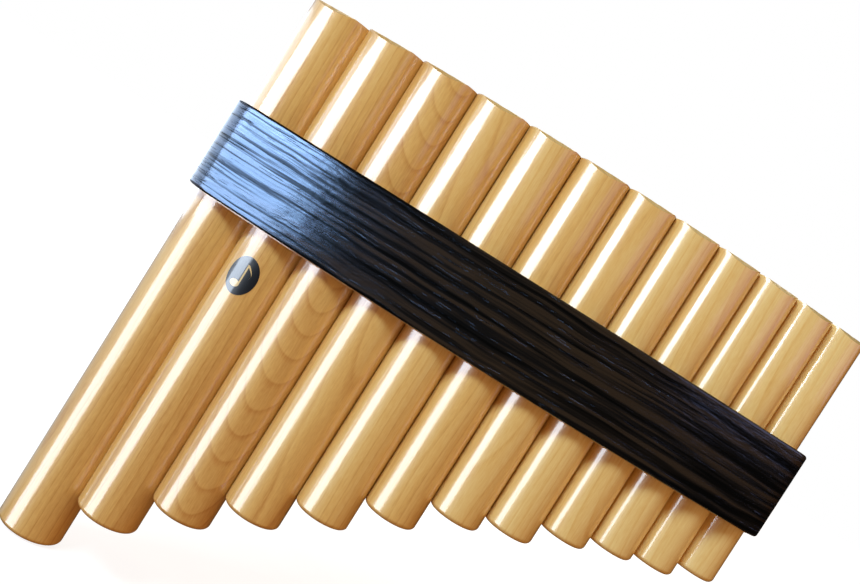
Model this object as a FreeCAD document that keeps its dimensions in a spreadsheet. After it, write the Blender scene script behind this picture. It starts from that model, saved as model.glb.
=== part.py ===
"""Twelve-note pan flute in C: stopped pipes in a curved rank, bent bands, tuning corks and wax.

Upright, +Z along the pipes with the mouths up, the convex banded front towards -Y, and +X from the
longest pipe to the shortest. The origin is the centre of the longest pipe's lower rim.
"""
import FreeCAD, Part
import Sketcher
import os
from FreeCAD import Vector

# Notes from the longest pipe to the shortest, with their semitones above the concert pitch.
notes = {"c5": 3, "d5": 5, "e5": 7, "f5": 8, "g5": 10, "a5": 12,
         "b5": 14, "c6": 15, "d6": 17, "e6": 19, "f6": 20, "g6": 22}

# Driving dimensions, in millimetres and degrees unless the comment says otherwise.
sizes = {
    "concert_pitch": 440.0,      # hertz, the A above middle C
    "speed_of_sound": 343.0,     # metres a second
    "mouth_correction": 0.33,    # share of the bore that the note adds to the speaking length
    "longest_diameter": 22.8,    # outside diameter of the longest pipe
    "middle_diameter": 18.0,     # outside diameter half way along the rank
    "shortest_diameter": 15.8,   # outside diameter of the shortest pipe
    "wall": 3.0,                 # wood left round each bore
    "front_radius": 300.0,       # plan radius of the curve that touches every pipe's front
    "glue_flat": 4.0,            # width of the flat planed where two pipes meet
    "bevel_run": 3.2,            # depth of the blowing edge's bevel, front to back
    "bevel_angle": 25.0,         # slope of the blowing edge's bevel
    "lip_run": 2.6,              # depth of the lip relief at the back of the mouth
    "lip_angle": 16.0,           # slope of the lip relief
    "foot_rounding": 1.8,        # rounding of each pipe's lower outer edge
    "peg_depth": 10.0,           # depth of the wider recess in each lower end
    "peg_step": 0.6,             # how much wider the recess is than the bore, on radius
    "cork_length": 12.0,
    "cork_clearance": 0.05,      # gap between cork and bore, on radius
    "wax_thickness": 2.5,
    "glue_line": 0.05,
    "lining_thickness": 0.8,
    "lining_overhang": 0.4,      # how far the lining shows below the band
    "band_thickness": 3.0,
    "band_height": 31.4,
    "band_drop": 41.0,           # mouths down to the bands' upper edge
    "band_rounding": 1.0,        # rounding of the bands' outer long edges
    "band_wrap": 155.0,          # how far the front band goes round each end pipe
    "rear_thickness": 3.0,       # rear band, at the deepest of its saddles
    "rear_saddle": 0.6,          # how deep the pipes bed into the rear band
    # Wood left below each cork, as each pipe was cut to length.
    "tail_c5": 27.0, "tail_d5": 25.0, "tail_e5": 25.0, "tail_f5": 19.0,
    "tail_g5": 20.0, "tail_a5": 20.0, "tail_b5": 20.0, "tail_c6": 19.5,
    "tail_d6": 21.0, "tail_e6": 24.5, "tail_f6": 25.5, "tail_g6": 27.5,
}

doc = FreeCAD.newDocument("pan_flute")
subParts = []


def makeSheet(name, cells):
    """A spreadsheet with one named cell per row."""
    sheet = doc.addObject("Spreadsheet::Sheet", name)
    for row, (alias, content) in enumerate(cells.items(), start=1):
        sheet.set(f"A{row}", alias)
        sheet.set(f"B{row}", content)
        sheet.setAlias(f"B{row}", alias)
    doc.recompute()
    return sheet


def cornerAngle(first, second, opposite):
    """Formula for the corner of a triangle, from the two sides that meet there and the opposite side."""
    return f"acos(({first}^2 + {second}^2 - {opposite}^2) / (2 * {first} * {second}))"


def layoutCells():
    """Formulas that place and size every pipe from the driving dimensions."""
    cells = {}
    last = len(notes) - 1
    names = list(notes)
    for index, (note, semitones) in enumerate(notes.items()):
        along = index / last
        long, short = (1 - along) * (1 - 2 * along), along * (2 * along - 1)
        middle = 1 - long - short
        cells[f"radius_{note}"] = (f"=(Sizes.longest_diameter * {long} + Sizes.middle_diameter * {middle}"
                                   f" + Sizes.shortest_diameter * {short}) / 2")
        cells[f"bore_{note}"] = f"=radius_{note} - Sizes.wall"
        cells[f"recess_{note}"] = f"=bore_{note} + Sizes.peg_step"
        cells[f"plug_{note}"] = f"=bore_{note} - Sizes.cork_clearance"
        cells[f"flat_{note}"] = f"=sqrt(radius_{note}^2 - Sizes.glue_flat^2 / 4)"
        cells[f"ring_{note}"] = f"=Sizes.front_radius - radius_{note}"
        cells[f"pitch_{note}"] = f"=Sizes.concert_pitch * pow(2; {semitones} / 12)"
        cells[f"speaking_{note}"] = (f"=1000 * Sizes.speed_of_sound / (4 * pitch_{note})"
                                     f" - 2 * Sizes.mouth_correction * bore_{note}")
        cells[f"stopped_{note}"] = f"=speaking_{note} + Sizes.wax_thickness + Sizes.cork_length"
        cells[f"length_{note}"] = f"=stopped_{note} + Sizes.tail_{note}"
    cells[f"turn_{names[0]}"] = "=0 deg"
    for note, after in zip(names, names[1:]):
        near, far, step = f"ring_{note}", f"ring_{after}", f"step_{after}"
        cells[step] = f"=flat_{note} + flat_{after}"
        cells[f"turn_{after}"] = f"=turn_{note} + {cornerAngle(near, far, step)}"
        cells[f"ahead_{note}"] = f"=90 deg - {cornerAngle(near, step, far)}"
        cells[f"behind_{after}"] = f"=90 deg + {cornerAngle(far, step, near)}"
    first, end = names[0], names[-1]
    cells["chord_turn"] = (f"=atan((ring_{first} - ring_{end} * cos(turn_{end}))"
                           f" / (ring_{end} * sin(turn_{end})))")
    for note in notes:
        cells[f"heading_{note}"] = f"=turn_{note} - chord_turn"
        cells[f"east_{note}"] = f"=ring_{note} * sin(heading_{note}) - ring_{first} * sin(heading_{first})"
        cells[f"north_{note}"] = f"=ring_{first} * cos(heading_{first}) - ring_{note} * cos(heading_{note})"
        cells[f"rear_{note}"] = f"=north_{note} + radius_{note} * cos(heading_{note})"
        cells[f"side_{note}"] = f"=east_{note} - radius_{note} * sin(heading_{note})"
    cells["centre_east"] = f"=-ring_{first} * sin(heading_{first})"
    cells["centre_north"] = f"=ring_{first} * cos(heading_{first})"
    cells["mouth_height"] = f"=length_{first}"
    cells["band_top"] = "=mouth_height - Sizes.band_drop"
    cells["lining_height"] = "=Sizes.band_height + Sizes.lining_overhang"
    cells.update(rearCells(first, names[len(names) // 2], end))
    return cells


def rearCells(first, middle, end):
    """The circle through the backs of the first, middle and last pipes, which the rear band follows."""
    x = {note: f"side_{note}" for note in (first, middle, end)}
    y = {note: f"rear_{note}" for note in (first, middle, end)}
    square = {note: f"({x[note]}^2 + {y[note]}^2)" for note in (first, middle, end)}
    order = ((first, middle, end), (middle, end, first), (end, first, middle))
    spread = " + ".join(f"{x[a]} * ({y[b]} - {y[c]})" for a, b, c in order)
    east = " + ".join(f"{square[a]} * ({y[b]} - {y[c]})" for a, b, c in order)
    north = " + ".join(f"{square[a]} * ({x[c]} - {x[b]})" for a, b, c in order)
    cells = {"rear_spread": f"=2 * ({spread})"}
    cells["rear_east"] = f"=({east}) / rear_spread"
    cells["rear_north"] = f"=({north}) / rear_spread"
    cells["rear_radius"] = f"=sqrt(({x[first]} - rear_east)^2 + ({y[first]} - rear_north)^2)"
    cells["rear_start"] = f"=asin(({x[first]} - rear_east) / rear_radius)"
    cells["rear_sweep"] = f"=asin(({x[end]} - rear_east) / rear_radius) - rear_start"
    return cells


def originPlane(body, role):
    return next(feature for feature in body.Origin.OriginFeatures if feature.Role == role)


def newSketch(body, name, role):
    """A sketch flat on one of the body's own origin planes."""
    sketch = body.newObject("Sketcher::SketchObject", name)
    sketch.AttachmentSupport = [(originPlane(body, role), "")]
    sketch.MapMode = "FlatFace"
    return sketch


def polygon(sketch, corners):
    """Closed outline of straight lines; level and upright lines are held so."""
    for start, stop in zip(corners, corners[1:] + corners[:1]):
        line = sketch.addGeometry(Part.LineSegment(Vector(*start, 0), Vector(*stop, 0)))
        if abs(start[1] - stop[1]) < 1e-9:
            sketch.addConstraint(Sketcher.Constraint("Horizontal", line))
        elif abs(start[0] - stop[0]) < 1e-9:
            sketch.addConstraint(Sketcher.Constraint("Vertical", line))
    for line in range(len(corners)):
        sketch.addConstraint(Sketcher.Constraint("Coincident", line, 2, (line + 1) % len(corners), 1))


def bind(sketch, kind, first, second, expression):
    """A dimension from one point to another, driven by an expression."""
    size = number(expression)
    index = sketch.addConstraint(Sketcher.Constraint(kind, *first, *second, size))
    sketch.setExpression(f"Constraints[{index}]", expression)


def number(expression):
    """The present value of an expression, angles in degrees."""
    value = layout.evalExpression(expression)
    return float(getattr(value, "Value", value))


centre = (-1, 1)      # the sketch origin, as a constraint names it


def edgesWhere(shape, test):
    return [f"Edge{index}" for index, edge in enumerate(shape.Edges, start=1) if test(edge)]


def finish(subPart, label):
    subPart.Label = label
    subParts.append(subPart)
    return subPart


def onPipeAxis(body, note):
    """Stand the body on the pipe's axis, level with the mouths, its own -Y facing out of the curve."""
    body.setExpression("Placement", f"placement(vector(Layout.east_{note}; Layout.north_{note};"
                                    f" Layout.mouth_height);"
                                    f" rotation(vector(0; 0; 1); Layout.heading_{note}))")


def cutBelow(body, sketch, name, symmetric=False):
    """Cut the sketch right through the body, and make sure that it took wood away."""
    before = body.Shape.Volume
    pocket = body.newObject("PartDesign::Pocket", name)
    pocket.Profile = sketch
    pocket.Type = "ThroughAll"
    pocket.Midplane = symmetric
    doc.recompute()
    if pocket.Shape.Volume >= before:
        raise RuntimeError(f"{name} cut nothing")
    return pocket


def planeFlat(body, note, facing):
    """Plane the flat that the pipe is glued to its neighbour by."""
    sketch = newSketch(body, f"{facing}_flat_{note}", "XY_Plane")
    reach = number(f"Layout.flat_{note}")
    wide = number(f"Layout.radius_{note}")
    polygon(sketch, [(reach, -wide), (2 * wide, -wide), (2 * wide, wide), (reach, wide)])
    bind(sketch, "DistanceX", centre, (0, 1), f"Layout.flat_{note}")
    bind(sketch, "DistanceX", centre, (1, 1), f"2 * Layout.radius_{note}")
    bind(sketch, "DistanceY", (0, 1), centre, f"Layout.radius_{note}")
    bind(sketch, "DistanceY", centre, (2, 1), f"Layout.radius_{note}")
    sketch.setExpression("AttachmentOffset", f"placement(vector(0; 0; 0);"
                                             f" rotation(vector(0; 0; 1); Layout.{facing}_{note}))")
    cutBelow(body, sketch, f"{facing}_glue_flat_{note}")


def slopeMouth(body, note, name, side):
    """Slope the mouth down to the front (side -1, the blowing edge) or the back (side +1, the lip)."""
    run, slope = f"Sizes.{name}_run", f"Sizes.{name}_angle"
    start = f"Layout.radius_{note} - {run}"
    fall = f"(Layout.radius_{note} * tan({slope} * 1 deg))"
    sketch = newSketch(body, f"{name}_slope_{note}", "YZ_Plane")
    inner, reach, drop = number(start), number(f"Layout.radius_{note}"), number(fall)
    polygon(sketch, [(side * inner, 0), (side * (inner + reach), -drop), (side * (inner + reach), 0)])
    order = (centre, (0, 1)) if side > 0 else ((0, 1), centre)
    bind(sketch, "DistanceX", *order, start)
    order = ((0, 1), (1, 1)) if side > 0 else ((1, 1), (0, 1))
    bind(sketch, "DistanceX", *order, f"Layout.radius_{note}")
    bind(sketch, "DistanceY", (1, 1), (2, 1), fall)
    sketch.addConstraint(Sketcher.Constraint("PointOnObject", 0, 1, -1))
    cutBelow(body, sketch, f"{name}_bevel_{note}", symmetric=True)


def revolved(body, sketch, name):
    turned = body.newObject("PartDesign::Revolution", name)
    turned.Profile = sketch
    turned.ReferenceAxis = (sketch, ["V_Axis"])
    turned.Angle = 360
    doc.recompute()
    return turned


def makePipe(place, note):
    """A turned pipe: bore, wider recess below, rounded foot, glue flats, bevelled mouth."""
    body = doc.addObject("PartDesign::Body", f"Pipe_{note}")
    sketch = newSketch(body, f"pipe_profile_{note}", "XZ_Plane")
    bore, outer = number(f"Layout.bore_{note}"), number(f"Layout.radius_{note}")
    recess, length = number(f"Layout.recess_{note}"), number(f"Layout.length_{note}")
    shoulder = length - number("Sizes.peg_depth")
    polygon(sketch, [(bore, 0), (outer, 0), (outer, -length), (recess, -length),
                     (recess, -shoulder), (bore, -shoulder)])
    sketch.addConstraint(Sketcher.Constraint("PointOnObject", 0, 1, -1))
    bind(sketch, "DistanceX", centre, (0, 1), f"Layout.bore_{note}")
    bind(sketch, "DistanceX", centre, (1, 1), f"Layout.radius_{note}")
    bind(sketch, "DistanceX", centre, (3, 2), f"Layout.recess_{note}")
    bind(sketch, "DistanceY", (1, 2), centre, f"Layout.length_{note}")
    bind(sketch, "DistanceY", (3, 1), (3, 2), "Sizes.peg_depth")
    turned = revolved(body, sketch, f"turned_{note}")
    foot = edgesWhere(turned.Shape, lambda edge: isinstance(edge.Curve, Part.Circle)
                      and abs(edge.Curve.Radius - outer) < 1e-6
                      and abs(edge.Curve.Center.z + length) < 1e-6)
    rounding = body.newObject("PartDesign::Fillet", f"foot_{note}")
    rounding.Base = (turned, foot)
    rounding.setExpression("Radius", "min(Sizes.foot_rounding; 0.9 * (Sizes.wall - Sizes.peg_step))")
    doc.recompute()
    if place > 0:
        planeFlat(body, note, "behind")
    if place < len(notes) - 1:
        planeFlat(body, note, "ahead")
    slopeMouth(body, note, "bevel", -1)
    slopeMouth(body, note, "lip", 1)
    onPipeAxis(body, note)
    return finish(body, f"pipe_{place + 1:02d}_{note}")


def makeDisc(name, note, top, thickness):
    """A plain disc that fits the bore; top is the expression for its depth below the mouth."""
    body = doc.addObject("PartDesign::Body", f"{name}_{note}")
    sketch = newSketch(body, f"{name}_profile_{note}", "XZ_Plane")
    radius, high, thick = number(f"Layout.plug_{note}"), number(top), number(thickness)
    polygon(sketch, [(0, -high), (radius, -high), (radius, -high - thick), (0, -high - thick)])
    sketch.addConstraint(Sketcher.Constraint("PointOnObject", 0, 1, -2))
    bind(sketch, "DistanceX", centre, (0, 2), f"Layout.plug_{note}")
    bind(sketch, "DistanceY", (1, 1), centre, top)
    bind(sketch, "DistanceY", (1, 2), (1, 1), thickness)
    revolved(body, sketch, f"{name}_turned_{note}")
    onPipeAxis(body, note)
    return body


def makeCork(place, note):
    """The tuning cork, below the wax."""
    cork = makeDisc("Cork", note, f"Layout.stopped_{note} - Sizes.cork_length", "Sizes.cork_length")
    return finish(cork, f"cork_{place + 1:02d}_{note}")


def makeWax(place, note):
    """The beeswax poured on the cork, which tunes the note."""
    wax = makeDisc("Wax", note, f"Layout.speaking_{note}", "Sizes.wax_thickness")
    return finish(wax, f"wax_{place + 1:02d}_{note}")


def bentRun(name, axis, inner, thickness, height, start, sweep):
    """One bend of a strip: its section, level with the bands' upper edge, turned about an upright axis.

    axis is the pair of expressions for where the axis stands. start and sweep are expressions for
    headings, from -Y towards +X.
    """
    east, north = axis
    sketch = doc.addObject("Sketcher::SketchObject", f"{name}_section")
    near, thick, tall = number(inner), number(thickness), number(height)
    polygon(sketch, [(near, 0), (near + thick, 0), (near + thick, -tall), (near, -tall)])
    sketch.addConstraint(Sketcher.Constraint("PointOnObject", 0, 1, -1))
    bind(sketch, "DistanceX", centre, (0, 1), inner)
    bind(sketch, "DistanceX", (0, 1), (0, 2), thickness)
    bind(sketch, "DistanceY", (1, 2), (1, 1), height)
    sketch.setExpression("Placement", f"placement(vector({east}; {north}; Layout.band_top);"
                                      f" rotation(vector(0; 0; 1); {start} - 90 deg)"
                                      f" * rotation(vector(1; 0; 0); 90 deg))")
    doc.recompute()
    run = doc.addObject("Part::Revolution", name)
    run.Source = sketch
    run.Axis = Vector(0, 0, 1)
    run.Solid = True
    run.setExpression("Base.x", east)
    run.setExpression("Base.y", north)
    run.setExpression("Angle", sweep)
    doc.recompute()
    return run


def wrappedStrip(name, gap, thickness, height):
    """A strip along the fronts of all the pipes that carries on round the two end pipes.

    gap is the expression for how far its inner face stands off the pipes.
    """
    first, last = list(notes)[0], list(notes)[-1]
    front = bentRun(f"{name}_front", ("Layout.centre_east", "Layout.centre_north"),
                    f"Sizes.front_radius + {gap}", thickness, height,
                    f"Layout.heading_{first}", f"Layout.heading_{last} - Layout.heading_{first}")
    wraps = [bentRun(f"{name}_wrap_{note}", (f"Layout.east_{note}", f"Layout.north_{note}"),
                     f"Layout.radius_{note} + {gap}", thickness, height, start, "Sizes.band_wrap")
             for note, start in ((first, f"Layout.heading_{first} - Sizes.band_wrap * 1 deg"),
                                 (last, f"Layout.heading_{last}"))]
    strip = doc.addObject("Part::MultiFuse", name)
    strip.Shapes = [front, *wraps]
    strip.Refine = True
    doc.recompute()
    return strip


def roundLongEdges(strip, name, radii):
    """Round the level edges that run along the strip at the given bend radii."""
    rounding = number("Sizes.band_rounding")
    rounded = doc.addObject("Part::Fillet", name)
    rounded.Base = strip
    rounded.Edges = [(index, rounding, rounding) for index, edge in enumerate(strip.Shape.Edges, start=1)
                     if isinstance(edge.Curve, Part.Circle) and abs(edge.Curve.Axis.z) > 0.99
                     and any(abs(edge.Curve.Radius - radius) < 1e-6 for radius in radii)]
    doc.recompute()
    return rounded


def makeFrontBand():
    """The dark hardwood band, outside its lining."""
    gap = "2 * Sizes.glue_line + Sizes.lining_thickness"
    strip = wrappedStrip("band_strip", gap, "Sizes.band_thickness", "Sizes.band_height")
    face = number(f"{gap} + Sizes.band_thickness")
    ends = list(notes)[0], list(notes)[-1]
    bends = ["Sizes.front_radius"] + [f"Layout.radius_{note}" for note in ends]
    band = roundLongEdges(strip, "Front_band", [number(bend) + face for bend in bends])
    return finish(band, "front_band")


def makeLining():
    """The pale strip that the band is laid on, showing as a thin line below it."""
    lining = wrappedStrip("Front_lining", "Sizes.glue_line", "Sizes.lining_thickness",
                          "Layout.lining_height")
    return finish(lining, "front_band_lining")


def makeRearBand():
    """The band across the hollow back, scribed to the pipes so that each beds into its own saddle."""
    inner = "Layout.rear_radius + Sizes.rear_saddle - Sizes.rear_thickness"
    strip = bentRun("rear_strip", ("Layout.rear_east", "Layout.rear_north"), inner,
                    "Sizes.rear_thickness", "Sizes.band_height", "Layout.rear_start", "Layout.rear_sweep")
    rounded = roundLongEdges(strip, "rear_rounded", [number(inner)])
    saddles = []
    for note in notes:
        saddle = doc.addObject("Part::Cylinder", f"saddle_{note}")
        saddle.setExpression("Radius", f"Layout.radius_{note} + Sizes.glue_line")
        saddle.setExpression("Height", "Layout.mouth_height")
        saddle.setExpression("Placement", f"placement(vector(Layout.east_{note}; Layout.north_{note}; 0);"
                                          " rotation(vector(0; 0; 1); 0))")
        saddles.append(saddle)
    bed = doc.addObject("Part::MultiFuse", "saddles")
    bed.Shapes = saddles
    band = doc.addObject("Part::Cut", "Rear_band")
    band.Base = rounded
    band.Tool = bed
    doc.recompute()
    return finish(band, "rear_band")


def checkDocument():
    """Stop if any object failed or any sub-part isn't one sound solid."""
    for item in doc.Objects:
        if "Invalid" in item.State or "Error" in item.State:
            raise RuntimeError(f"{item.Label}: {item.State}")
    for subPart in subParts:
        shape = subPart.Shape
        if shape.isNull() or not shape.isValid() or len(shape.Solids) != 1:
            raise RuntimeError(f"{subPart.Label}: shape isn't one valid solid")


makeSheet("Sizes", {alias: str(value) for alias, value in sizes.items()})
layout = makeSheet("Layout", layoutCells())

for place, note in enumerate(notes):
    makePipe(place, note)
    makeCork(place, note)
    makeWax(place, note)
makeFrontBand()
makeLining()
makeRearBand()

doc.recompute()
checkDocument()
os.makedirs("parts", exist_ok=True)
for subPart in subParts:
    subPart.Shape.exportStep(f"parts/{subPart.Label}.step")
    box = subPart.Shape.BoundBox
    print(f"{subPart.Label:20s} {subPart.Shape.Volume:9.1f} mm3  z {box.ZMin:7.2f} to {box.ZMax:7.2f}")
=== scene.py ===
import math
import bpy
import bmesh
from mathutils import Matrix, Vector


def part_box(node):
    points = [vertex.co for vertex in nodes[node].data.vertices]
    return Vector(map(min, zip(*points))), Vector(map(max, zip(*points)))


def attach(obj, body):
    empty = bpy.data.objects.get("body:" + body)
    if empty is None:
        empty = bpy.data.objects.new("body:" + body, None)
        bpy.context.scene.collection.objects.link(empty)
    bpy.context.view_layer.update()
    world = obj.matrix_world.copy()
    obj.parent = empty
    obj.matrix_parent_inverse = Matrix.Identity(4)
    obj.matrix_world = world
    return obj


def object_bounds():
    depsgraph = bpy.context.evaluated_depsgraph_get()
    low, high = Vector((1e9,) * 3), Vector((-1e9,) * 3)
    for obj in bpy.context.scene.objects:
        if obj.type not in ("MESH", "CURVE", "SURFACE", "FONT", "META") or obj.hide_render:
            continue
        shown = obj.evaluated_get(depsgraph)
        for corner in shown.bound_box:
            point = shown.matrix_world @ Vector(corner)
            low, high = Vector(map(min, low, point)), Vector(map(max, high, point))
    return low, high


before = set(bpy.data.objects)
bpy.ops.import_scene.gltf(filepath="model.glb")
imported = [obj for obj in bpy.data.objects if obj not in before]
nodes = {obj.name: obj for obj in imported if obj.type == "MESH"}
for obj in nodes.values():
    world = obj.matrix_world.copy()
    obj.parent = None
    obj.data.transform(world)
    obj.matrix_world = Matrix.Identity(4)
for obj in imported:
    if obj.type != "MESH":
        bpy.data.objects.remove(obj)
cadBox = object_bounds()
mm = 0.001
boxLow, boxHigh = cadBox
middle = (boxLow + boxHigh) / 2
print("loaded", len(nodes), "nodes")


def linear(hexCode):
    channels = [int(hexCode[i:i + 2], 16) / 255 for i in (1, 3, 5)]
    return [c / 12.92 if c <= 0.04045 else ((c + 0.055) / 1.055) ** 2.4 for c in channels] + [1.0]


def addNode(tree, kind, settings=None, links=None):
    node = tree.nodes.new(kind)
    for key, value in (settings or {}).items():
        if key == "stops":     # colour ramp, as (place, hex or grey)
            ramp = node.color_ramp
            while len(ramp.elements) < len(value):
                ramp.elements.new(0.5)
            for stop, (place, shade) in zip(ramp.elements, value):
                stop.position = place
                stop.color = linear(shade) if isinstance(shade, str) else (shade, shade, shade, 1)
        elif isinstance(key, int) or key in node.inputs:
            node.inputs[key].default_value = value
        else:
            setattr(node, key, value)
    for key, source in (links or {}).items():
        tree.links.new(source, node.inputs[key])
    return node


def newMaterial(name):
    material = bpy.data.materials.new(name)
    material.use_nodes = True
    material.node_tree.nodes.clear()
    return material, material.node_tree


def millimetres(tree, origin=(0, 0, 0)):
    # place on the object in millimetres, counted from origin (metres)
    place = addNode(tree, "ShaderNodeTexCoord").outputs["Object"]
    shifted = addNode(tree, "ShaderNodeVectorMath", {"operation": "SUBTRACT", 1: origin}, {0: place})
    scaled = addNode(tree, "ShaderNodeVectorMath", {"operation": "SCALE", "Scale": 1 / mm},
                     {0: shifted.outputs[0]})
    return scaled.outputs[0]


def paint(piece, material):
    piece.data.materials.clear()
    piece.data.materials.append(material)


# lacquered maple, turned and dipped: pale gold under a glassy coat, with faint yearly rings that
# run as lines along a pipe, or as arcs where the cut crosses them

maple = {
    "light": "#F5D58E", "mid": "#E9BC6E", "dark": "#C98B44",
    "stops": (0.34, 0.64, 1.0),         # where those three lie on the mixed pattern
    "ringMm": 2.6,                      # one year's growth
    "ringStops": [(0.0, 0.10), (0.72, 0.34), (0.93, 0.95), (1.0, 0.15)],
    "warpMm": 7.0,                      # how far the rings wander
    "patterns": {                       # across and along the grain in mm, detail, roughness
        "wander": (34.0, 97.14, 2.0, 0.5),
        "grain": (0.30, 12.0, 3.0, 0.6),     # vessels, drawn a little coarse so they show
        "fleck": (0.55, 2.6, 1.0, 0.5),      # rays cut across, small and silky
        "cloud": (9.0, 75.0, 2.0, 0.5),
        "swell": (5.5, 18.33, 2.0, 0.5),     # the coat's own unevenness
    },
    "ringShare": 0.20, "shares": {"grain": 0.32, "fleck": 0.22, "cloud": 0.60},
    "grainDepthMm": 0.04, "grainRelief": 0.25, "swellDepthMm": 0.06, "swellRelief": 0.5,
    "roughness": (0.30, 0.46), "ior": 1.5,
    "coatIor": 1.6, "coatRoughness": 0.085,
}
pipeWood = {   # pith beside the pipe in mm, sideways and back, its lean in degrees, tone (below 0 is paler; the paling towards the short pipes is painted light, standing in for the brighter light on them, and the scatter from pipe to pipe is the wood's own tone)
    "pipe_01_c5": (38, 30, 1.2, 0.05),
    "pipe_02_d5": (-46, 22, 2.0, 0.07),
    "pipe_03_e5": (6, -30, 15.0, 0.11),
    "pipe_04_f5": (30, -52, 3.0, 0.02),
    "pipe_05_g5": (-60, 8, 2.2, -0.04),
    "pipe_06_a5": (25, 44, 1.6, 0.02),
    "pipe_07_b5": (-22, -48, 2.6, -0.05),
    "pipe_08_c6": (52, 15, 1.9, -0.10),
    "pipe_09_d6": (-30, 40, 3.2, -0.08),
    "pipe_10_e6": (44, -33, 2.1, -0.14),
    "pipe_11_f6": (-18, 58, 1.4, -0.13),
    "pipe_12_g6": (36, 36, 2.8, -0.18),
}
liningWood = (90, 60, 2.0, 0.0)


def mapleMaterial(name, centre, pithX, pithY, lean, tone):
    material, tree = newMaterial(name)
    place = millimetres(tree, centre)
    noise = {}
    for pattern, (acrossMm, alongMm, detail, roughness) in maple["patterns"].items():
        share = acrossMm / alongMm
        drawn = addNode(tree, "ShaderNodeVectorMath", {"operation": "MULTIPLY", 1: (1, 1, share)}, {0: place})
        noise[pattern] = addNode(tree, "ShaderNodeTexNoise",
                                 {"Scale": 1 / acrossMm, "Detail": detail, "Roughness": roughness},
                                 {"Vector": drawn.outputs[0]})

    # rings round the pith
    reach = maple["warpMm"]
    warp = addNode(tree, "ShaderNodeVectorMath",
                   {"operation": "MULTIPLY_ADD", 1: (reach, reach, 0), 2: (-reach / 2, -reach / 2, 0)},
                   {0: noise["wander"].outputs["Color"]})
    bent = addNode(tree, "ShaderNodeVectorMath", {"operation": "ADD"}, {0: place, 1: warp.outputs[0]})
    fromPith = addNode(tree, "ShaderNodeMapping",
                       {"Location": (pithX, pithY, 0),
                        "Rotation": (math.radians(lean), math.radians(lean / 2), 0)},
                       {"Vector": bent.outputs[0]})
    flat = addNode(tree, "ShaderNodeVectorMath", {"operation": "MULTIPLY", 1: (1, 1, 0)},
                   {0: fromPith.outputs[0]})
    distance = addNode(tree, "ShaderNodeVectorMath", {"operation": "LENGTH"}, {0: flat.outputs[0]})
    years = addNode(tree, "ShaderNodeMath", {"operation": "DIVIDE", 1: maple["ringMm"]},
                    {0: distance.outputs["Value"]})
    season = addNode(tree, "ShaderNodeMath", {"operation": "FRACT"}, {0: years.outputs[0]})
    ring = addNode(tree, "ShaderNodeValToRGB", {"stops": maple["ringStops"]}, {"Fac": season.outputs[0]})

    # tone shifts the whole pipe paler or darker; its paling towards the short pipes is painted light
    mixed = addNode(tree, "ShaderNodeMath", {"operation": "MULTIPLY_ADD", 1: maple["ringShare"], 2: tone},
                    {0: ring.outputs[0]})
    for pattern, share in maple["shares"].items():
        mixed = addNode(tree, "ShaderNodeMath", {"operation": "MULTIPLY_ADD", 1: share},
                        {0: noise[pattern].outputs["Fac"], 2: mixed.outputs[0]})
    shades = (maple["light"], maple["mid"], maple["dark"])
    colour = addNode(tree, "ShaderNodeValToRGB", {"stops": list(zip(maple["stops"], shades))},
                     {"Fac": mixed.outputs[0]})

    smooth, coarse = maple["roughness"]
    rough = addNode(tree, "ShaderNodeMapRange", {"To Min": smooth, "To Max": coarse},
                    {"Value": noise["grain"].outputs["Fac"]})
    ridges = addNode(tree, "ShaderNodeBump",
                     {"Strength": maple["grainRelief"], "Distance": maple["grainDepthMm"] * mm},
                     {"Height": noise["grain"].outputs["Fac"]})
    lacquer = addNode(tree, "ShaderNodeBump",
                      {"Strength": maple["swellRelief"], "Distance": maple["swellDepthMm"] * mm},
                      {"Height": noise["swell"].outputs["Fac"], "Normal": ridges.outputs[0]})
    shader = addNode(tree, "ShaderNodeBsdfPrincipled",
                     {"IOR": maple["ior"], "Coat Weight": 1.0, "Coat IOR": maple["coatIor"],
                      "Coat Roughness": maple["coatRoughness"]},
                     {"Base Color": colour.outputs[0], "Roughness": rough.outputs[0],
                      "Normal": ridges.outputs[0], "Coat Normal": lacquer.outputs[0]})
    addNode(tree, "ShaderNodeOutputMaterial", links={"Surface": shader.outputs[0]})
    return material


# wenge under a thick spray lacquer: near black with brown streaks, and a shine that the open pores
# and the sunken grain break up into lines along the band

wenge = {
    "black": "#080807", "dark": "#17130F", "brown": "#33281C", "pore": "#030302",
    "stops": (0.54, 0.66, 0.77),
    "waveMm": 3.5, "waveLengthMm": 30.0, "waveStretch": (0.7, 0.5, 1.0),     # how the lines wander
    "patterns": {                  # across and along the grain in mm, detail, roughness
        "lines": (1.5, 75.0, 3.0, 0.55),     # one dark and one brown line
        "broad": (8.0, 400.0, 2.0, 0.5),
        "pores": (0.36, 16.0, 1.0, 0.5),     # drawn coarse so they show
        "wrinkles": (0.8, 5.0, 2.0, 0.5),    # the lacquer sinks a little along the grain
    },
    "broadShare": 0.35, "lineShare": 0.55, "wrinkleShare": 0.5,
    "poreEdge": (0.28, 0.33),
    "reliefMm": 0.13, "relief": 0.8,
    "dimpleMm": 5.0, "dimpleStretch": (0.4, 0.4, 1.0), "dimpleDepthMm": 0.35, "dimpleRelief": 0.6,
    "dullAt": (0.38, 0.50), "shine": (0.10, 0.5),
    "ior": 1.95, "roughness": 0.19,
    "paintedSkyTint": "#AFD2FF",        # painted reflection colour: the cold blue of the sky, tinting what the lacquer throws back
}
bandWood = {"front_band": ("sprayedWenge", 0), "rear_band": ("sprayedWengeRear", 140)}     # name, shift in mm


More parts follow.
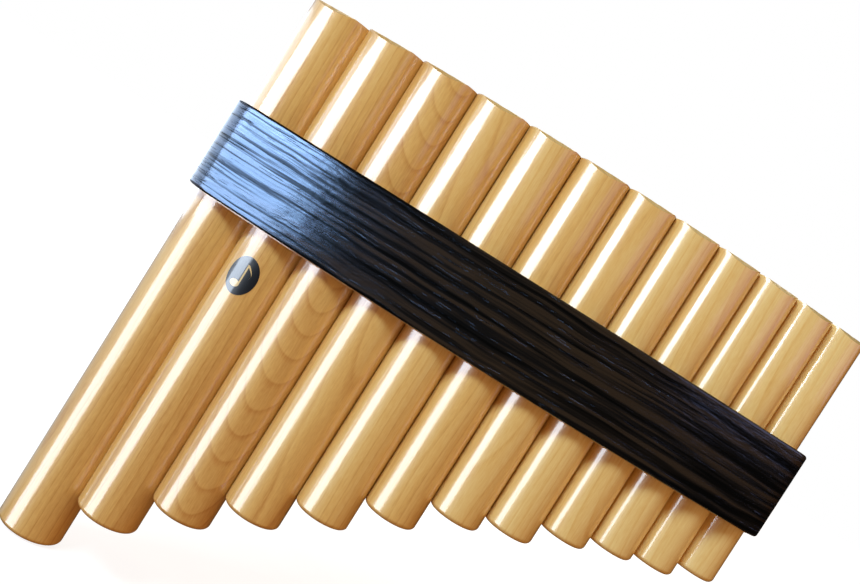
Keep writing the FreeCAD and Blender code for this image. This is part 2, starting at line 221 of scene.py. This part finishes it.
def wengeMaterial(name, shiftMm):
    material, tree = newMaterial(name)
    place = millimetres(tree, (shiftMm * mm, 0, 0))
    slowPlace = addNode(tree, "ShaderNodeVectorMath", {"operation": "MULTIPLY", 1: wenge["waveStretch"]},
                        {0: place})
    slow = addNode(tree, "ShaderNodeTexNoise", {"Scale": 1 / wenge["waveLengthMm"], "Detail": 2.0},
                   {"Vector": slowPlace.outputs[0]})
    height = addNode(tree, "ShaderNodeSeparateXYZ", links={0: place}).outputs["Z"]
    wavy = addNode(tree, "ShaderNodeMath", {"operation": "MULTIPLY_ADD", 1: wenge["waveMm"]},
                   {0: slow.outputs["Fac"], 2: height})
    across = addNode(tree, "ShaderNodeCombineXYZ", links={"Z": wavy.outputs[0]})
    noise = {}
    for pattern, (acrossMm, alongMm, detail, roughness) in wenge["patterns"].items():
        share = acrossMm / alongMm
        along = addNode(tree, "ShaderNodeVectorMath", {"operation": "MULTIPLY", 1: (share, share, 0)},
                        {0: place})
        drawn = addNode(tree, "ShaderNodeVectorMath", {"operation": "ADD"},
                        {0: across.outputs[0], 1: along.outputs[0]})
        noise[pattern] = addNode(tree, "ShaderNodeTexNoise",
                                 {"Scale": 1 / acrossMm, "Detail": detail, "Roughness": roughness},
                                 {"Vector": drawn.outputs[0]}).outputs["Fac"]

    mixed = addNode(tree, "ShaderNodeMath", {"operation": "MULTIPLY_ADD", 1: wenge["broadShare"]},
                    {0: noise["broad"], 2: noise["lines"]})
    shades = (wenge["black"], wenge["dark"], wenge["brown"])
    colour = addNode(tree, "ShaderNodeValToRGB", {"stops": list(zip(wenge["stops"], shades))},
                     {"Fac": mixed.outputs[0]})
    openBelow, closedAbove = wenge["poreEdge"]
    closed = addNode(tree, "ShaderNodeMapRange", {"From Min": openBelow, "From Max": closedAbove},
                     {"Value": noise["pores"]})
    skin = addNode(tree, "ShaderNodeMix", {"data_type": "RGBA", "A": linear(wenge["pore"])},
                   {"Factor": closed.outputs[0], "B": colour.outputs[0]})

    ridged = addNode(tree, "ShaderNodeMath", {"operation": "MULTIPLY_ADD", 1: wenge["lineShare"]},
                     {0: noise["lines"], 2: closed.outputs[0]})
    relief = addNode(tree, "ShaderNodeMath", {"operation": "MULTIPLY_ADD", 1: wenge["wrinkleShare"]},
                     {0: noise["wrinkles"], 2: ridged.outputs[0]})

    # unevenness of the spray
    dimplePlace = addNode(tree, "ShaderNodeVectorMath", {"operation": "MULTIPLY", 1: wenge["dimpleStretch"]},
                          {0: place})
    dimples = addNode(tree, "ShaderNodeTexNoise", {"Scale": 1 / wenge["dimpleMm"], "Detail": 3.0},
                      {"Vector": dimplePlace.outputs[0]})
    flow = addNode(tree, "ShaderNodeBump",
                   {"Strength": wenge["dimpleRelief"], "Distance": wenge["dimpleDepthMm"] * mm},
                   {"Height": dimples.outputs["Fac"]})
    bump = addNode(tree, "ShaderNodeBump", {"Strength": wenge["relief"], "Distance": wenge["reliefMm"] * mm},
                   {"Height": relief.outputs[0], "Normal": flow.outputs[0]})

    # dull in the dark lines, where the grain drank the lacquer
    dull, glossy = wenge["shine"]
    dullBelow, glossyAbove = wenge["dullAt"]
    shine = addNode(tree, "ShaderNodeMapRange",
                    {"From Min": dullBelow, "From Max": glossyAbove, "To Min": dull, "To Max": glossy},
                    {"Value": noise["lines"]})
    # the specular tint is a painted reflection colour, the sky's blue laid into the lacquer's shine
    shader = addNode(tree, "ShaderNodeBsdfPrincipled",
                     {"IOR": wenge["ior"], "Roughness": wenge["roughness"],
                      "Specular Tint": linear(wenge["paintedSkyTint"])},
                     {"Base Color": skin.outputs["Result"], "Normal": bump.outputs[0],
                      "Specular IOR Level": shine.outputs["Result"]})
    addNode(tree, "ShaderNodeOutputMaterial", links={"Surface": shader.outputs[0]})
    return material


# natural cork, cut and sanded: dry tan grains with dark specks

cork = {
    "brown": "#8A5F3B", "tan": "#C29668", "stops": (0.1, 0.6),
    "speck": "#4B2F1C", "speckStops": (0.62, 0.70),
    "grainMm": 1.1, "speckMm": 1.7, "depthMm": 0.2, "relief": 0.6,
    "roughness": 0.88,
}


def corkMaterial():
    material, tree = newMaterial("naturalCork")
    place = millimetres(tree)
    cells = addNode(tree, "ShaderNodeTexVoronoi", {"Scale": 1 / cork["grainMm"]}, {"Vector": place})
    shades = (cork["brown"], cork["tan"])
    shade = addNode(tree, "ShaderNodeValToRGB", {"stops": list(zip(cork["stops"], shades))},
                    {"Fac": cells.outputs["Color"]})
    specks = addNode(tree, "ShaderNodeTexNoise", {"Scale": 1 / cork["speckMm"], "Detail": 3.0},
                     {"Vector": place})
    spotted = addNode(tree, "ShaderNodeValToRGB", {"stops": list(zip(cork["speckStops"], (0.0, 1.0)))},
                      {"Fac": specks.outputs["Fac"]})
    colour = addNode(tree, "ShaderNodeMix", {"data_type": "RGBA", "B": linear(cork["speck"])},
                     {"Factor": spotted.outputs[0], "A": shade.outputs[0]})
    bump = addNode(tree, "ShaderNodeBump", {"Strength": cork["relief"], "Distance": cork["depthMm"] * mm},
                   {"Height": cells.outputs["Distance"]})
    shader = addNode(tree, "ShaderNodeBsdfPrincipled", {"Roughness": cork["roughness"]},
                     {"Base Color": colour.outputs["Result"], "Normal": bump.outputs[0]})
    addNode(tree, "ShaderNodeOutputMaterial", links={"Surface": shader.outputs[0]})
    return material


# beeswax, melted and poured: amber, soft and a little cloudy

wax = {
    "amber": "#D9A441", "cloud": "#E8C475", "stops": (0.35, 0.7),
    "cloudMm": 3.0, "depthMm": 0.1, "relief": 0.3,
    "roughness": 0.42, "ior": 1.44, "glow": 0.2, "glowMm": 1.0,
}


def waxMaterial():
    material, tree = newMaterial("beeswax")
    cloud = addNode(tree, "ShaderNodeTexNoise", {"Scale": 1 / wax["cloudMm"], "Detail": 3.0},
                    {"Vector": millimetres(tree)})
    shades = (wax["amber"], wax["cloud"])
    colour = addNode(tree, "ShaderNodeValToRGB", {"stops": list(zip(wax["stops"], shades))},
                     {"Fac": cloud.outputs["Fac"]})
    bump = addNode(tree, "ShaderNodeBump", {"Strength": wax["relief"], "Distance": wax["depthMm"] * mm},
                   {"Height": cloud.outputs["Fac"]})
    shader = addNode(tree, "ShaderNodeBsdfPrincipled",
                     {"Roughness": wax["roughness"], "IOR": wax["ior"], "Subsurface Weight": wax["glow"],
                      "Subsurface Scale": wax["glowMm"] * mm},
                     {"Base Color": colour.outputs[0], "Normal": bump.outputs[0]})
    addNode(tree, "ShaderNodeOutputMaterial", links={"Surface": shader.outputs[0]})
    return material


edges = {"weldMm": 0.002, "crispDegrees": 28}     # joins closer points, keeps sharper edges


def dressNodes():
    corkSkin = corkMaterial()
    waxSkin = waxMaterial()
    for name, node in nodes.items():
        if name in pipeWood:
            low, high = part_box(name)
            centre = ((low.x + high.x) / 2, (low.y + high.y) / 2, 0)
            paint(node, mapleMaterial("lacqueredMaple_" + name[5:], centre, *pipeWood[name]))
        elif name.startswith("cork"):
            paint(node, corkSkin)
        elif name.startswith("wax"):
            paint(node, waxSkin)
        node.data.polygons.foreach_set("use_smooth", [True] * len(node.data.polygons))
        weld = node.modifiers.new("weld", "WELD")
        weld.merge_threshold = edges["weldMm"] * mm
        split = node.modifiers.new("crisp", "EDGE_SPLIT")
        split.split_angle = math.radians(edges["crispDegrees"])
    for name, wood in bandWood.items():
        paint(nodes[name], wengeMaterial(*wood))
    paint(nodes["front_band_lining"], mapleMaterial("mapleLining", (0, 0, 0), *liningWood))


dressNodes()
print("materials on the wood, cork and wax")


# printed mark on the second pipe: a plain black oval with an eighth note left open in it

mark = {
    "pipe": "pipe_02_d5", "belowBandMm": 15.6, "turn": -13.0,
    "wideMm": 10.8, "tallMm": 13.2, "filmMm": 0.04, "noteLift": 1.6,     # the note lies over the oval
    "ink": "#15171C", "inkSpeck": "#1E2128", "wood": "#DDBB78", "woodSpeck": "#E6CB90",
    "speckStops": (0.35, 0.75), "grainMm": 0.4, "depthMm": 0.03, "relief": 0.2, "roughness": 0.4,
    "headMm": (1.7, 1.2), "headPlace": (-1.0, -3.2), "stemMm": (0.55, 7.2),
    "flagReachMm": 2.07, "flagDropMm": 3.91, "flagThickMm": 0.75, "flagSwing": 2.1,     # radians
    "ovalColumns": 40, "headColumns": 16, "flagColumns": 12, "joinMm": 0.0001,
}


def inkMaterial(name, colour, speck):
    # screen print under the lacquer, so it shines like the wood round it
    material, tree = newMaterial(name)
    grain = addNode(tree, "ShaderNodeTexNoise", {"Scale": 1 / mark["grainMm"], "Detail": 2.0},
                    {"Vector": millimetres(tree)})
    tone = addNode(tree, "ShaderNodeValToRGB", {"stops": list(zip(mark["speckStops"], (colour, speck)))},
                   {"Fac": grain.outputs["Fac"]})
    bump = addNode(tree, "ShaderNodeBump", {"Strength": mark["relief"], "Distance": mark["depthMm"] * mm},
                   {"Height": grain.outputs["Fac"]})
    shader = addNode(tree, "ShaderNodeBsdfPrincipled",
                     {"Roughness": mark["roughness"], "Coat Weight": 1.0, "Coat IOR": maple["coatIor"],
                      "Coat Roughness": maple["coatRoughness"]},
                     {"Base Color": tone.outputs[0], "Normal": bump.outputs[0]})
    addNode(tree, "ShaderNodeOutputMaterial", links={"Surface": shader.outputs[0]})
    return material


def ovalStrip(across, up, centre, columns):
    # pairs of lower and upper points, closer together towards the ends
    pairs = []
    for step in range(columns + 1):
        angle = math.pi * step / columns
        x = centre[0] - across * math.cos(angle)
        half = up * math.sin(angle)
        pairs.append(((x, centre[1] - half), (x, centre[1] + half)))
    return pairs


def stemStrip(left, right, bottom, top):
    return [((left, bottom), (left, top)), ((right, bottom), (right, top))]


def flagStrip(corner, columns):
    # swings out from the top of the stem and hangs down to a point
    pairs = []
    for step in range(columns + 1):
        along = step / columns
        x = corner[0] + mark["flagReachMm"] * math.sin(along * mark["flagSwing"])
        z = corner[1] - mark["flagDropMm"] * along
        pairs.append(((x, z - mark["flagThickMm"] * (1 - along)), (x, z)))
    return pairs


def printOn(name, strips, lift, material):
    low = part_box(mark["pipe"])[0]
    corkLow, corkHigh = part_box(mark["pipe"].replace("pipe", "cork"))
    axis = (corkLow + corkHigh) / 2
    radius = axis.y - low.y + lift * mm
    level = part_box("front_band")[0].z - mark["belowBandMm"] * mm
    mesh = bpy.data.meshes.new(name)
    work = bmesh.new()

    def bent(point):
        around = math.radians(mark["turn"]) + point[0] * mm / radius
        return work.verts.new((axis.x + radius * math.sin(around), axis.y - radius * math.cos(around),
                               level + point[1] * mm))

    for strip in strips:
        columns = [(bent(below), bent(above)) for below, above in strip]
        for (a, b), (c, d) in zip(columns, columns[1:]):
            work.faces.new((a, c, d, b))
    bmesh.ops.remove_doubles(work, verts=work.verts[:], dist=mark["joinMm"] * mm)
    work.to_mesh(mesh)
    work.free()
    mesh.polygons.foreach_set("use_smooth", [True] * len(mesh.polygons))
    piece = bpy.data.objects.new(name, mesh)
    bpy.context.scene.collection.objects.link(piece)
    paint(piece, material)
    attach(piece, "flute")


def makeMark():
    x, z = mark["headPlace"]
    wide, tall = mark["stemMm"]
    right = x + mark["headMm"][0]
    oval = [ovalStrip(mark["wideMm"] / 2, mark["tallMm"] / 2, (0, 0), mark["ovalColumns"])]
    note = [ovalStrip(*mark["headMm"], mark["headPlace"], mark["headColumns"]),
            stemStrip(right - wide, right, z, z + tall),
            flagStrip((right, z + tall), mark["flagColumns"])]
    printOn("markOval", oval, mark["filmMm"],
            inkMaterial("blackPrint", mark["ink"], mark["inkSpeck"]))
    printOn("markNote", note, mark["noteLift"] * mark["filmMm"],
            inkMaterial("openPrint", mark["wood"], mark["woodSpeck"]))


makeMark()
print("mark on the second pipe")


# camera in front of the long half of the rank, leaning to one side; metres and degrees

camera = {
    "aside": -0.0256, "ahead": 0.350, "above": 0.0504,
    "yaw": -0.31, "pitch": -1.89, "roll": 32.24,
    "lens": 45.2, "sensor": 36, "clip": (0.01, 50),
}


def makeCamera():
    data = bpy.data.cameras.new("camera")
    data.lens = camera["lens"]
    data.sensor_width = camera["sensor"]
    data.clip_start, data.clip_end = camera["clip"]
    view = bpy.data.objects.new("camera", data)
    bpy.context.scene.collection.objects.link(view)
    place = Vector((middle.x + camera["aside"], middle.y - camera["ahead"], middle.z + camera["above"]))
    turn = (Matrix.Rotation(math.radians(camera["yaw"]), 4, "Z")
            @ Matrix.Rotation(math.radians(90 + camera["pitch"]), 4, "X")
            @ Matrix.Rotation(math.radians(camera["roll"]), 4, "Z"))
    view.matrix_world = Matrix.Translation(place) @ turn
    bpy.context.scene.camera = view


makeCamera()


# studio: pale card floor, a tall cold window at the left and a warm room all round

lamps = {   # what it lights, colour, watts or (for lacquer) radiance, size, azimuth, distance, height
    "window": ("wood", "#CEEBFF", 48.0, (0.8, 0.6), 36, 1.5, 1.25),
    "sideWindow": ("wood", "#CEEBFF", 1.0, (0.8, 0.8), 115, 0.8, 0.30),
    "warmRoom": ("wood", "#FFC890", 1.6, (1.2, 0.9), -70, 0.8, 0.1),
    "mirrorHigh": ("lacquer", "#E0EEFF", 10.5, (0.48, 0.37), 58, 0.75, 0.315),
    "mirrorLow": ("lacquer", "#E0EEFF", 8.0, (0.46, 0.50), 58, 0.75, -0.30),
    "mirrorSide": ("lacquer", "#E0EEFF", 0.5, (1.25, 0.9), 118, 0.75, 0.05),
    "sillFront": ("lacquer", "#E0EEFF", 10.5, (0.66, 0.23), 60, 0.75, 0.065),    # level with the band
    "sillSide": ("lacquer", "#E0EEFF", 3.0, (1.1, 0.23), 124, 0.74, 0.065),      # for its bent end
    "rightEdge": ("lacquer", "#DDD3F0", 0.9, (0.50, 0.40), -72, 0.45, 0.30),
    "behind": ("both", "#FFF4E6", 3.0, (0.9, 0.7), 180, 0.9, 0.35),
}
room = {"warm": "#FFC890", "ambient": 0.36, "reflected": "#1C1A18", "backdrop": "#FFFFFF"}
card = {
    "pale": "#8C8B89", "speck": "#949391", "speckStops": (0.3, 0.7), "roughness": 0.9,
    "grainMm": 25.0, "sizeMm": 6000.0, "dropMm": 0.5,
    "glow": "#FFFFFF", "shade": (0.84, 1.0), "shadeMm": (150.0, 550.0),     # a little darker near the flute
}


def makeLamp(name, lights, colour, strength, size, azimuth, distance, height):
    data = bpy.data.lights.new(name, "AREA")
    data.shape = "RECTANGLE"
    data.size, data.size_y = size
    data.color = linear(colour)[:3]
    data.energy = strength * math.pi * size[0] * size[1] if lights == "lacquer" else strength
    lamp = bpy.data.objects.new(name, data)
    bpy.context.scene.collection.objects.link(lamp)
    angle = math.radians(azimuth)     # 0 in front of the flute, growing towards its long end
    away = Vector((-math.sin(angle), -math.cos(angle), 0))
    lamp.location = middle + away * distance + Vector((0, 0, height))
    lamp.rotation_euler = (-away).to_track_quat("-Z", "Y").to_euler()
    lamp.visible_camera = False
    lamp.visible_diffuse = lights != "lacquer"
    lamp.visible_glossy = lights != "wood"


def makeWorld():
    world = bpy.data.worlds.new("studio")
    bpy.context.scene.world = world
    world.use_nodes = True
    tree = world.node_tree
    tree.nodes.clear()
    ray = addNode(tree, "ShaderNodeLightPath")
    warm = addNode(tree, "ShaderNodeBackground", {"Color": linear(room["warm"]), "Strength": room["ambient"]})
    dim = addNode(tree, "ShaderNodeBackground", {"Color": linear(room["reflected"])})
    pale = addNode(tree, "ShaderNodeBackground", {"Color": linear(room["backdrop"])})
    mirrored = addNode(tree, "ShaderNodeMixShader",
                       links={0: ray.outputs["Is Glossy Ray"], 1: warm.outputs[0], 2: dim.outputs[0]})
    seen = addNode(tree, "ShaderNodeMixShader",
                   links={0: ray.outputs["Is Camera Ray"], 1: mirrored.outputs[0], 2: pale.outputs[0]})
    addNode(tree, "ShaderNodeOutputWorld", links={"Surface": seen.outputs[0]})


def cardMaterial():
    # uncoated card, matt, lit through from behind so that it stays pale
    material, tree = newMaterial("paleCard")
    place = millimetres(tree)
    grain = addNode(tree, "ShaderNodeTexNoise", {"Scale": 1 / card["grainMm"], "Detail": 2.0},
                    {"Vector": place})
    shades = (card["pale"], card["speck"])
    tone = addNode(tree, "ShaderNodeValToRGB", {"stops": list(zip(card["speckStops"], shades))},
                   {"Fac": grain.outputs["Fac"]})
    away = addNode(tree, "ShaderNodeVectorMath", {"operation": "LENGTH"}, {0: place})
    nearGlow, farGlow = card["shade"]
    nearMm, farMm = card["shadeMm"]
    strength = addNode(tree, "ShaderNodeMapRange",
                       {"From Min": nearMm, "From Max": farMm, "To Min": nearGlow, "To Max": farGlow},
                       {"Value": away.outputs["Value"]})
    shader = addNode(tree, "ShaderNodeBsdfPrincipled",
                     {"Roughness": card["roughness"], "Emission Color": linear(card["glow"])},
                     {"Base Color": tone.outputs[0], "Emission Strength": strength.outputs[0]})
    addNode(tree, "ShaderNodeOutputMaterial", links={"Surface": shader.outputs[0]})
    return material


def makeFloor():
    mesh = bpy.data.meshes.new("floor")
    work = bmesh.new()
    bmesh.ops.create_grid(work, x_segments=1, y_segments=1, size=card["sizeMm"] * mm)
    work.to_mesh(mesh)
    work.free()
    floor = bpy.data.objects.new("floor", mesh)
    floor.location = (middle.x, middle.y, boxLow.z - card["dropMm"] * mm)
    bpy.context.scene.collection.objects.link(floor)
    paint(floor, cardMaterial())
    floor.visible_diffuse = False
    floor.visible_glossy = False
    floor.visible_shadow = False


def makeStudio():
    for name, lamp in lamps.items():
        makeLamp(name, *lamp)
    makeWorld()
    makeFloor()
    view = bpy.context.scene.view_settings
    view.view_transform = "Standard"
    view.look = "None"


makeStudio()
print("camera, lights and floor")
